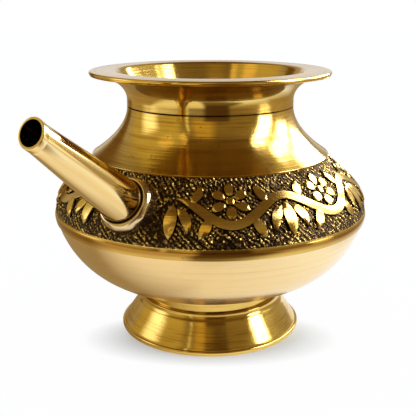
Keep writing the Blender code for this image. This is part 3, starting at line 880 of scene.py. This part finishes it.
neck_outline = (
    arc(edge_centre, RIM_EDGE_ROUND, RIM_EDGE_ROUND, 90, -20)
    + [(RIM_RADIUS - 2 * RIM_GROOVE, groove_z), (RIM_RADIUS - RIM_GROOVE, groove_z - RIM_GROOVE)]
    + [(RIM_RADIUS - 2 * RIM_GROOVE, edge_low_z)]
    + arc(flare_centre, flare_centre[0] - NECK_RADIUS, flare_rise, 90, 180, FLARE_STEPS)
    + [(NECK_RADIUS, collar_joint_z), (spigot_radius, collar_joint_z)]
    + [(spigot_radius, neck_low[2]), (spigot_radius - SPIGOT_WALL, neck_low[2])]
    + [(spigot_radius - SPIGOT_WALL, collar_joint_z)]
    + curve(mouth_low, MOUTH_LOW_PULL, MOUTH_TOP_PULL, mouth_top, MOUTH_STEPS)
    + arc(mouth_centre, MOUTH_ROUND, MOUTH_ROUND, 180 - math.degrees(mouth_slope), 90)[1:]
)
neck_collar = spin_outline("neck_collar_turned", neck_outline)
neck_brass = turned_brass(
    "neck_brass",
    YELLOW_BRIGHT,
    YELLOW_DEEP,
    YELLOW_ROUGHNESS,
    LATHE_MARK_DEPTH,
    dirty_z=neck_joint_middle,
)
finish_piece(neck_collar, neck_brass, "polished_brass", "neck_collar")

# Braze rings: the filler metal that ran into the three round seams from inside, left as cast and
# dull brown with flux. They only show through the mouth and from under the foot.

BRAZE_BRASS = (0.40, 0.27, 0.10)
BRAZE_FLUX = (0.16, 0.10, 0.045)
BRAZE_ROUGHNESS = 0.45
BRAZE_MARK_DEPTH = 0.00004
BRAZE_FINENESS = 400.0
BRAZE_STEPS = 96
neck_ring_low, neck_ring_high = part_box("neck_braze_ring")
belly_ring_low, belly_ring_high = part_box("belly_braze_ring")
foot_ring_low, foot_ring_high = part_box("foot_braze_ring")
BELLY_BRAZE_WIDTH = 0.0010
FOOT_BRAZE_WIDTH = 0.0019
NECK_BRAZE_EDGE = 0.0003
foot_fillet = foot_ring_high[0]
ring_outlines = {
    "neck_braze_ring": [
        (neck_bore + NECK_BRAZE_EDGE, neck_ring_high[2]),
        (neck_ring_high[0], neck_ring_low[2]),
        (neck_bore, neck_ring_low[2]),
        (neck_bore, neck_ring_high[2]),
    ],
    "belly_braze_ring": [
        (belly_ring_high[0], belly_ring_high[2]),
        (belly_ring_high[0], belly_ring_low[2]),
        (belly_ring_high[0] - BELLY_BRAZE_WIDTH, belly_ring_low[2]),
    ],
    "foot_braze_ring": [
        (foot_fillet, height_at(bowl_seat, foot_fillet)),
        (foot_fillet, foot_ring_low[2]),
        (foot_fillet - FOOT_BRAZE_WIDTH, height_at(bowl_seat, foot_fillet - FOOT_BRAZE_WIDTH)),
    ],
}
braze_metal = turned_brass(
    "braze_metal", BRAZE_BRASS, BRAZE_FLUX, BRAZE_ROUGHNESS, BRAZE_MARK_DEPTH, BRAZE_FINENESS
)
for node_name, outline in ring_outlines.items():
    ring = spin_outline(node_name + "_run", outline, BRAZE_STEPS)
    finish_piece(ring, braze_metal, "braze_metal", node_name)

# Spout collar: a thick cast sleeve, filed to the curve of the shoulder and brazed on round the spout's
# hole. Hammer and file marks are left on it.

COLLAR_HEIGHT = 0.0046
COLLAR_WALL = 0.0021
COLLAR_SPREAD = 0.00108
COLLAR_COUNTERSINK = 0.0014
COLLAR_SKIRT = 0.0080
COLLAR_SKIRT_STEPS = 8
COLLAR_INNER_ROUND = 0.0003
COLLAR_DOME = 0.0034
COLLAR_BRIGHT, COLLAR_DEEP = (0.86, 0.70, 0.42), (0.30, 0.19, 0.08)
COLLAR_ROUGHNESS = 0.15
COLLAR_MARK_DEPTH = 0.00004
COLLAR_FINENESS = 500.0
HAMMER_DEPTH = 0.00045
HAMMER_SPACING = 260
UNHAMMERED_SHARE = 0.4
SADDLE_STEPS = 480
SADDLE_STRIDE = 4
collar_radius = bore_radius + COLLAR_WALL
round_centre = (bore_radius + COLLAR_INNER_ROUND, COLLAR_HEIGHT - COLLAR_INNER_ROUND)
dome_width = COLLAR_WALL - COLLAR_INNER_ROUND
dome_centre = (collar_radius - dome_width, COLLAR_HEIGHT - COLLAR_DOME)
skirt = []
for i in range(COLLAR_SKIRT_STEPS + 1):
    share = i / COLLAR_SKIRT_STEPS
    skirt.append((collar_radius + COLLAR_SPREAD * share, -COLLAR_SKIRT * share))
collar_outline = (
    arc(round_centre, COLLAR_INNER_ROUND, COLLAR_INNER_ROUND, 180, 90, 6)
    + arc(dome_centre, dome_width, COLLAR_DOME, 90, 0)[1:]
    + skirt
    + [(bore_radius, -COLLAR_SKIRT)]
)
spout_collar = spin_outline("spout_collar_cast", collar_outline, SPOUT_STEPS, spout_seat, spout_axis)
saddle_skin = inset(
    shoulder_skin + band_curve[SADDLE_STRIDE::SADDLE_STRIDE] + ridge_skin[1:], GROUND_DEPTH
)
saddle_outline = [(0, saddle_skin[0][1])] + saddle_skin + [(0, saddle_skin[-1][1])]
cut_away(spout_collar, spin_outline("body_saddle", saddle_outline, SADDLE_STEPS))
for vertex in spout_collar.data.vertices:
    reach = vertex.co - spout_seat
    out_from_axis = reach - reach.dot(spout_axis) * spout_axis
    if out_from_axis.length > bore_radius + COLLAR_WALL * UNHAMMERED_SHARE:
        dent = HAMMER_DEPTH * noise.noise(vertex.co * HAMMER_SPACING)
        vertex.co += out_from_axis.normalized() * dent
collar_brass = turned_brass(
    "collar_brass",
    COLLAR_BRIGHT,
    COLLAR_DEEP,
    COLLAR_ROUGHNESS,
    COLLAR_MARK_DEPTH,
    COLLAR_FINENESS,
    (spout_seat, spout_turn),
)
finish_piece(spout_collar, collar_brass, "polished_brass", "spout_collar")

# Spout tube: rolled from sheet brass, tapered, planished smooth and polished, with a stepped lip at its
# tip, cut a little off square. It passes through the collar and the shoulder's wall.

SPOUT_LENGTH = 0.0597
SPOUT_ROOT_DEPTH = 0.0045
SPOUT_TIP_RADIUS = 0.0051
SPOUT_WALL = 0.0009
SPOUT_LIP_LENGTH = 0.0026
SPOUT_LIP_STEP = 0.00015
SPOUT_LIP_BEVEL = 0.0001
SPOUT_LIP_ROUND = 0.0003
TUBE_STEPS = 20
TIP_SLANT = 0.21
SPOUT_BRIGHT, SPOUT_DEEP = (0.97, 0.79, 0.41), (0.90, 0.66, 0.27)
SPOUT_ROUGHNESS = 0.07
SPOUT_MARK_DEPTH = 0.0000012
SPOUT_FINENESS = 420.0
# Painted shade: the inside of the tube is painted near black, standing in for the dark inside of the
# bore
BORE_PAINTED_SHADE = (0.03, 0.018, 0.009, 1.0)
BORE_SHARE = 0.6
tip_radius = SPOUT_TIP_RADIUS + SPOUT_LIP_STEP
lip_start = SPOUT_LENGTH - SPOUT_LIP_LENGTH
lip_centre = (tip_radius - SPOUT_LIP_ROUND, SPOUT_LENGTH - SPOUT_LIP_ROUND)
taper_start = lip_start - SPOUT_LIP_BEVEL
taper = []
for i in range(TUBE_STEPS + 1):
    share = i / TUBE_STEPS
    taper_radius = SPOUT_TIP_RADIUS + (SPOUT_ROOT_RADIUS - SPOUT_TIP_RADIUS) * share
    taper.append((taper_radius, taper_start - (taper_start - COLLAR_HEIGHT) * share))
tube_outline = (
    arc(lip_centre, SPOUT_LIP_ROUND, SPOUT_LIP_ROUND, 90, 0, 5)
    + [(tip_radius, lip_start), (SPOUT_TIP_RADIUS - SPOUT_LIP_BEVEL, lip_start)]
    + taper
    + [(SPOUT_ROOT_RADIUS, -SPOUT_ROOT_DEPTH), (SPOUT_ROOT_RADIUS - SPOUT_WALL, -SPOUT_ROOT_DEPTH)]
    + [(SPOUT_ROOT_RADIUS - SPOUT_WALL, COLLAR_HEIGHT), (tip_radius - SPOUT_WALL, SPOUT_LENGTH)]
)
spout_tube = spin_outline("spout_tube_rolled", tube_outline, SPOUT_STEPS, spout_seat, spout_axis)
spout_up = Vector((0, math.sin(SPOUT_ELEVATION), math.cos(SPOUT_ELEVATION)))
for vertex in spout_tube.data.vertices:
    reach = vertex.co - spout_seat
    if reach.dot(spout_axis) > lip_start - SPOUT_LIP_STEP * 2:
        vertex.co += spout_axis * TIP_SLANT * reach.dot(spout_up)
spout_brass = turned_brass(
    "spout_brass",
    SPOUT_BRIGHT,
    SPOUT_DEEP,
    SPOUT_ROUGHNESS,
    SPOUT_MARK_DEPTH,
    SPOUT_FINENESS,
    (spout_seat, spout_turn),
    lines=drawn_lines,
)
tree = spout_brass.node_tree
shader = tree.nodes["Principled BSDF"]
on_axis = next(node for node in tree.nodes if node.type == "MAPPING").outputs[0]
parts = parts_of(tree, on_axis)
from_axis = vector_sum(tree, "LENGTH", "Value", place_of(tree, parts[0], parts[1]))
tube_radius = spread(tree, parts[2], COLLAR_HEIGHT, lip_start, SPOUT_ROOT_RADIUS, SPOUT_TIP_RADIUS)
under_skin = math_node(tree, "SUBTRACT", tube_radius, from_axis)
# Painted shade inside the bore, from part way through the wall inwards
in_bore = spread(tree, under_skin, SPOUT_WALL * BORE_SHARE, SPOUT_WALL)
polished = shader.inputs["Base Color"].links[0].from_socket
tree.links.new(mixed(tree, in_bore, polished, BORE_PAINTED_SHADE), shader.inputs["Base Color"])
finish_piece(spout_tube, spout_brass, "polished_brass", "spout_tube")

# Spout braze ring: filler metal in the countersunk mouth of the collar, dark with flux, which shows
# as a thin dark line where the tube enters the collar.

SPOUT_BRAZE_HEIGHT = 0.0009
DARK_BRAZE, DARK_FLUX = (0.14, 0.09, 0.035), (0.03, 0.02, 0.01)
DARK_BRAZE_ROUGHNESS = 0.5
DARK_BRAZE_MARK_DEPTH = 0.00005
DARK_BRAZE_FINENESS = 900.0
braze_low = COLLAR_HEIGHT - COLLAR_COUNTERSINK + 2 * JOINT_GAP
spout_braze_outline = [
    (bore_radius + SPOUT_BRAZE_HEIGHT / 3, braze_low + SPOUT_BRAZE_HEIGHT),
    (bore_radius, braze_low),
    (bore_radius, braze_low + SPOUT_BRAZE_HEIGHT),
]
spout_braze = spin_outline(
    "spout_braze_ring_run", spout_braze_outline, SPOUT_STEPS, spout_seat, spout_axis
)
dark_braze = turned_brass(
    "dark_braze",
    DARK_BRAZE,
    DARK_FLUX,
    DARK_BRAZE_ROUGHNESS,
    DARK_BRAZE_MARK_DEPTH,
    DARK_BRAZE_FINENESS,
    (spout_seat, spout_turn),
)
finish_piece(spout_braze, dark_braze, "braze_metal", "spout_braze_ring")

# Studio: a plain white floor in even white light, and a room that shows only as a mirror image in the
# brass. The room has white cards on the right, warm walls on the left and a dark brown side behind the
# camera.

VIEW_TURN = math.radians(30.0)
CAMERA_TURN = math.radians(30.17)
CAMERA_DISTANCE = 0.322
CAMERA_HEIGHT = 0.1426
CAMERA_PITCH = math.radians(15.55)
LENS_MM, SENSOR_MM = 64.7, 36
NEAREST_SEEN = 0.01
LIGHT_LEVEL = 1.0 / 0.94
FLOOR_SIZE = 6.0
FLOOR_PAINT = (0.80, 0.885, 0.99, 1)
SHADOW_GLOW, CLEAR_GLOW = 0.12, 0.97
SHADOW_INNER, SHADOW_OUTER = 0.034, 0.056
SHADOW_AHEAD, SHADOW_STRETCH = 0.021, 2.0
# The floor's tones in the mirror of the brass, and where each begins and is full, as a distance from
# the pot's axis: to the right, ahead towards the camera, or all round
MIRROR_LEFT_SHADE, MIRROR_LEFT = (0.34, 0.245, 0.12, 1), (0.93, 0.86, 0.78, 1)
MIRROR_RIGHT = (1.10, 1.16, 1.30, 1)
MIRROR_SIDE = (0.42, 0.31, 0.16, 1)
MIRROR_BY_SPOUT = (1.05, 0.99, 0.90, 1)
MIRROR_DARK = (0.17, 0.125, 0.06, 1)
LEFT_DARK, LEFT_CLEAR = -0.035, -0.003
LEFT_BACK, LEFT_AHEAD = 0.028, 0.075
RIGHT_FADE = 0.12
FAR_START, FAR_FULL = 0.32, 0.60
SIDE_NEAR, SIDE_FAR, SIDE_AHEAD = 0.10, 0.20, 0.08
RIGHT_NEAR, RIGHT_FAR = 0.15, 0.28
SPOUT_FLOOR_BACK, SPOUT_FLOOR_AHEAD = 0.08, 0.13
SPOUT_FLOOR_NEAR, SPOUT_FLOOR_FAR = 0.25, 0.32
PATCH_LEFT, PATCH_RIGHT, PATCH_AHEAD, PATCH_FADE = -0.018, 0.11, 0.125, 0.02
WHITE = (1.0, 1.0, 1.0)
right_way = Vector((math.cos(VIEW_TURN), math.sin(VIEW_TURN), 0))
camera_way = Vector((math.sin(VIEW_TURN), -math.cos(VIEW_TURN), 0))


def either(tree, share, first, second):
    """The first of two finishes, or the second where share is 1."""
    return add(tree, "ShaderNodeMixShader", {0: share, 1: first, 2: second}).outputs[0]


def glowing(tree, kind, colour, strength=1.0):
    """An even glow: Emission on a surface, or Background in the world."""
    return add(tree, "ShaderNode" + kind, {"Color": colour, "Strength": strength}).outputs[0]


bpy.ops.object.select_all(action="DESELECT")
bpy.ops.mesh.primitive_plane_add(size=FLOOR_SIZE)
floor = bpy.context.object
floor.name = "studio_floor"
floor_white = bpy.data.materials.new("floor_white")
floor_white.use_nodes = True
tree = floor_white.node_tree
floor_place = add(tree, "ShaderNodeTexCoord").outputs["Object"]
to_right = vector_sum(tree, "DOT_PRODUCT", "Value", floor_place, right_way)
to_camera = vector_sum(tree, "DOT_PRODUCT", "Value", floor_place, camera_way)
from_pot = vector_sum(tree, "LENGTH", "Value", floor_place)
left_clear = math_node(
    tree,
    "MAXIMUM",
    spread(tree, to_right, LEFT_DARK, LEFT_CLEAR),
    spread(tree, to_camera, LEFT_BACK, LEFT_AHEAD),
)
left_half = mixed(tree, left_clear, MIRROR_LEFT_SHADE, MIRROR_LEFT)
both_halves = mixed(tree, spread(tree, to_right, 0.0, RIGHT_FADE), left_half, MIRROR_RIGHT)
path_kind = add(tree, "ShaderNodeLightPath").outputs
twice_mirrored = spread(tree, path_kind["Glossy Depth"], 1.0, 2.0)
patch_left = spread(tree, to_right, PATCH_LEFT - PATCH_FADE, PATCH_LEFT)
patch_right = spread(tree, to_right, PATCH_RIGHT + PATCH_FADE, PATCH_RIGHT)
patch_ahead = spread(tree, to_camera, PATCH_AHEAD - PATCH_FADE, PATCH_AHEAD)
patch_width = math_node(tree, "MULTIPLY", patch_left, patch_right)
front_patch = math_node(tree, "MULTIPLY", patch_ahead, patch_width)
far_floor = math_node(tree, "MAXIMUM", spread(tree, to_camera, FAR_START, FAR_FULL), front_patch)
dark_share = math_node(tree, "MAXIMUM", far_floor, twice_mirrored)
to_side = spread(tree, math_node(tree, "ABSOLUTE", to_right), SIDE_NEAR, SIDE_FAR)
side_share = math_node(tree, "MULTIPLY", to_side, spread(tree, to_camera, SIDE_AHEAD, 0.0))
on_right = spread(tree, to_right, -PATCH_FADE, PATCH_FADE)
far_right = math_node(tree, "MULTIPLY", spread(tree, from_pot, RIGHT_NEAR, RIGHT_FAR), on_right)
side_share = math_node(tree, "MAXIMUM", side_share, far_right)
side_floor = mixed(tree, side_share, both_halves, MIRROR_SIDE)
spout_ahead = spread(tree, to_camera, SPOUT_FLOOR_BACK, SPOUT_FLOOR_AHEAD)
spout_reach = spread(tree, from_pot, SPOUT_FLOOR_FAR, SPOUT_FLOOR_NEAR)
under_spout = math_node(tree, "MULTIPLY", spout_ahead, spout_reach)
on_left = spread(tree, to_right, -PATCH_FADE, -2 * PATCH_FADE)
left_front = math_node(tree, "MULTIPLY", under_spout, on_left)
side_floor = mixed(tree, left_front, side_floor, MIRROR_BY_SPOUT)
in_mirror = mixed(tree, dark_share, side_floor, MIRROR_DARK)
shader = tree.nodes["Principled BSDF"]
shader.inputs["Base Color"].default_value = FLOOR_PAINT
shader.inputs["Roughness"].default_value = 1.0
shader.inputs["Specular IOR Level"].default_value = 0.0
shadow_ahead = math_node(tree, "SUBTRACT", to_camera, SHADOW_AHEAD)
shadow_ahead = math_node(tree, "MULTIPLY", shadow_ahead, SHADOW_STRETCH)
from_shadow = vector_sum(tree, "LENGTH", "Value", place_of(tree, to_right, shadow_ahead))
glow_share = spread(tree, from_shadow, SHADOW_INNER, SHADOW_OUTER, SHADOW_GLOW, CLEAR_GLOW)
lit_floor = either(tree, glow_share, shader.outputs[0], glowing(tree, "Emission", (*WHITE, 1)))
mirror_glow = glowing(tree, "Emission", in_mirror)
whole_floor = either(tree, path_kind["Is Glossy Ray"], lit_floor, mirror_glow)
tree.links.new(whole_floor, tree.nodes["Material Output"].inputs["Surface"])
floor.data.materials.append(floor_white)


def card(name, turns, reaches, low, high, soft, brightness, colour=WHITE, second_image=1.0):
    """A standing card with soft edges that only the brass mirrors. Each of its two ends has a turn in
    degrees right of the camera and a reach from the pot's axis. A brightness of 1 mirrors as white, and
    second_image is the share of it that is left when the card is mirrored twice."""
    ends = []
    for turn, reach in zip(turns, reaches):
        turn = math.radians(turn)
        ends.append(reach * (math.cos(turn) * camera_way + math.sin(turn) * right_way))
    along = ends[1] - ends[0]
    bpy.ops.object.select_all(action="DESELECT")
    bpy.ops.mesh.primitive_plane_add(
        size=1,
        location=(ends[0] + ends[1]) / 2 + Vector((0, 0, (low + high) / 2)),
        rotation=(math.pi / 2, 0, math.atan2(along.y, along.x)),
    )
    board = bpy.context.object
    board.name = name
    board.scale = (along.length, high - low, 1)
    paint = bpy.data.materials.new(name)
    paint.use_nodes = True
    tree = paint.node_tree
    card_place = add(tree, "ShaderNodeTexCoord").outputs["Object"]
    shares = []
    for place, side in zip(parts_of(tree, card_place), (along.length, high - low)):
        from_middle = math_node(tree, "ABSOLUTE", place)
        shares.append(spread(tree, from_middle, 0.5, 0.5 - min(soft / side, 0.5)))
    mirrored_times = add(tree, "ShaderNodeLightPath").outputs["Glossy Depth"]
    strength = spread(tree, mirrored_times, 1.0, 2.0, brightness, brightness * second_image)
    glow = glowing(tree, "Emission", (*colour, 1), strength)
    clear = add(tree, "ShaderNodeBsdfTransparent").outputs[0]
    faded = either(tree, math_node(tree, "MULTIPLY", *shares), clear, glow)
    tree.links.new(faded, tree.nodes["Material Output"].inputs["Surface"])
    board.data.materials.append(paint)
    board.visible_camera = False
    board.visible_diffuse = False
    board.visible_shadow = False


def turn_and_reach(sideways, ahead):
    """The turn and reach of a place that is so far right of the pot's axis and ahead of it."""
    return math.degrees(math.atan2(sideways, ahead)), math.hypot(sideways, ahead)


def flat_card(name, start, end, *rest):
    """A card between two places, each so far right of the pot's axis and ahead of it."""
    turns, reaches = zip(turn_and_reach(*start), turn_and_reach(*end))
    card(name, turns, reaches, *rest)


# A window pane's soft edge, brightness, tint and second image
PANE = (0.02, 10.0, WHITE, 0.07)
GLOW_TINT = (1.0, 0.90, 0.66)
MOUTH_TINT = (1.0, 0.74, 0.28)
flat_card("right_glow", (0.24, 0.13), (0.24, -0.36), 0.07, 0.42, 0.07, 0.95, GLOW_TINT)
flat_card("right_pane_near", (0.22, 0.12), (0.22, 0.02), 0.08, 0.345, *PANE)
flat_card("right_pane_middle", (0.22, -0.005), (0.22, -0.105), 0.125, 0.345, *PANE)
flat_card("right_pane_far", (0.22, -0.115), (0.22, -0.325), 0.145, 0.295, *PANE)
flat_card("mouth_shade", (0.12, -0.015), (0.12, -0.17), 0.178, 0.36, 0.012, 0.50, (1.0, 0.86, 0.52))
flat_card("left_window", (-0.30, 0.12), (-0.30, -0.06), 0.04, 0.28, 0.06, 1.7)
card("left_wall", (-36, -124), (0.60, 0.57), 0.0, 0.95, 0.12, 0.56, (1.0, 0.78, 0.27))
card("left_strip", (-27, -33), (0.50, 0.50), 0.0, 0.50, 0.025, 1.0, (1.0, 0.92, 0.55), 0.08)
card("back_brown", (-128, -152), (0.45, 0.45), 0.0, 0.50, 0.05, 0.17, (1.0, 0.55, 0.12))
flat_card("front_gold", (-0.30, 0.55), (0.10, 0.55), 0.06, 0.80, 0.12, 0.62, (1.0, 0.69, 0.17))
flat_card("camera_shade", (-0.026, 0.15), (0.07, 0.15), 0.022, 0.124, 0.015, 0.08, (1.0, 0.48, 0.17))
flat_card("right_low", (0.22, 0.11), (0.22, 0.03), 0.0, 0.09, 0.02, 1.2, GLOW_TINT)
flat_card("mouth_window", (0.32, 0.15), (0.32, 0.04), 0.38, 0.54, 0.02, 8.0, *PANE[2:])
flat_card("mouth_gold_near", (-0.30, 0.42), (-0.30, 0.27), 0.45, 0.80, 0.03, 0.95, MOUTH_TINT)
flat_card("mouth_gold_far", (-0.30, 0.20), (-0.30, 0.02), 0.36, 0.58, 0.04, 0.95, MOUTH_TINT)

# The room as the brass mirrors it, from behind the pot (0) to behind the camera (1)
SURROUND = (
    (0.012, (0.78, 0.77, 0.80, 1)),
    (0.045, (0.46, 0.39, 0.28, 1)),
    (0.50, (0.36, 0.30, 0.19, 1)),
    (0.72, (0.30, 0.22, 0.10, 1)),
    (0.90, (0.27, 0.19, 0.075, 1)),
)
CEILING = (0.13, 0.075, 0.025, 1)
CEILING_START, CEILING_FULL = 0.62, 0.88
world = bpy.data.worlds.new("studio_surround")
bpy.context.scene.world = world
world.use_nodes = True
tree = world.node_tree
tree.nodes.clear()
facing = add(tree, "ShaderNodeTexCoord").outputs["Generated"]
towards = vector_sum(tree, "DOT_PRODUCT", "Value", facing, camera_way)
surround = add(tree, "ShaderNodeValToRGB", {"Fac": spread(tree, towards, -1.0, 1.0)})
steps = surround.color_ramp.elements
steps[0].position, steps[1].position = SURROUND[0][0], SURROUND[-1][0]
for position, _ in SURROUND[1:-1]:
    steps.new(position)
for step, (_, colour) in zip(steps, SURROUND):
    step.color = colour
upwards = parts_of(tree, facing)[2]
ceiling_share = spread(tree, upwards, CEILING_START, CEILING_FULL)
room = mixed(tree, ceiling_share, surround.outputs["Color"], CEILING)
path_kind = add(tree, "ShaderNodeLightPath").outputs
seen = glowing(tree, "Background", (*WHITE, 1))
mirrored = glowing(tree, "Background", room)
lighting = glowing(tree, "Background", (*WHITE, 1), LIGHT_LEVEL)
for_gloss = either(tree, path_kind["Is Glossy Ray"], lighting, mirrored)
for_camera = either(tree, path_kind["Is Camera Ray"], for_gloss, seen)
add(tree, "ShaderNodeOutputWorld", {"Surface": for_camera})

bpy.ops.object.select_all(action="DESELECT")
bpy.ops.object.camera_add(
    location=CAMERA_DISTANCE * camera_way + Vector((0, 0, CAMERA_HEIGHT)),
    rotation=(math.pi / 2 - CAMERA_PITCH, 0, CAMERA_TURN),
)
camera = bpy.context.object
camera.data.lens = LENS_MM
camera.data.sensor_width = SENSOR_MM
camera.data.clip_start = NEAREST_SEEN
bpy.context.scene.camera = camera
bpy.context.scene.view_settings.view_transform = "Standard"
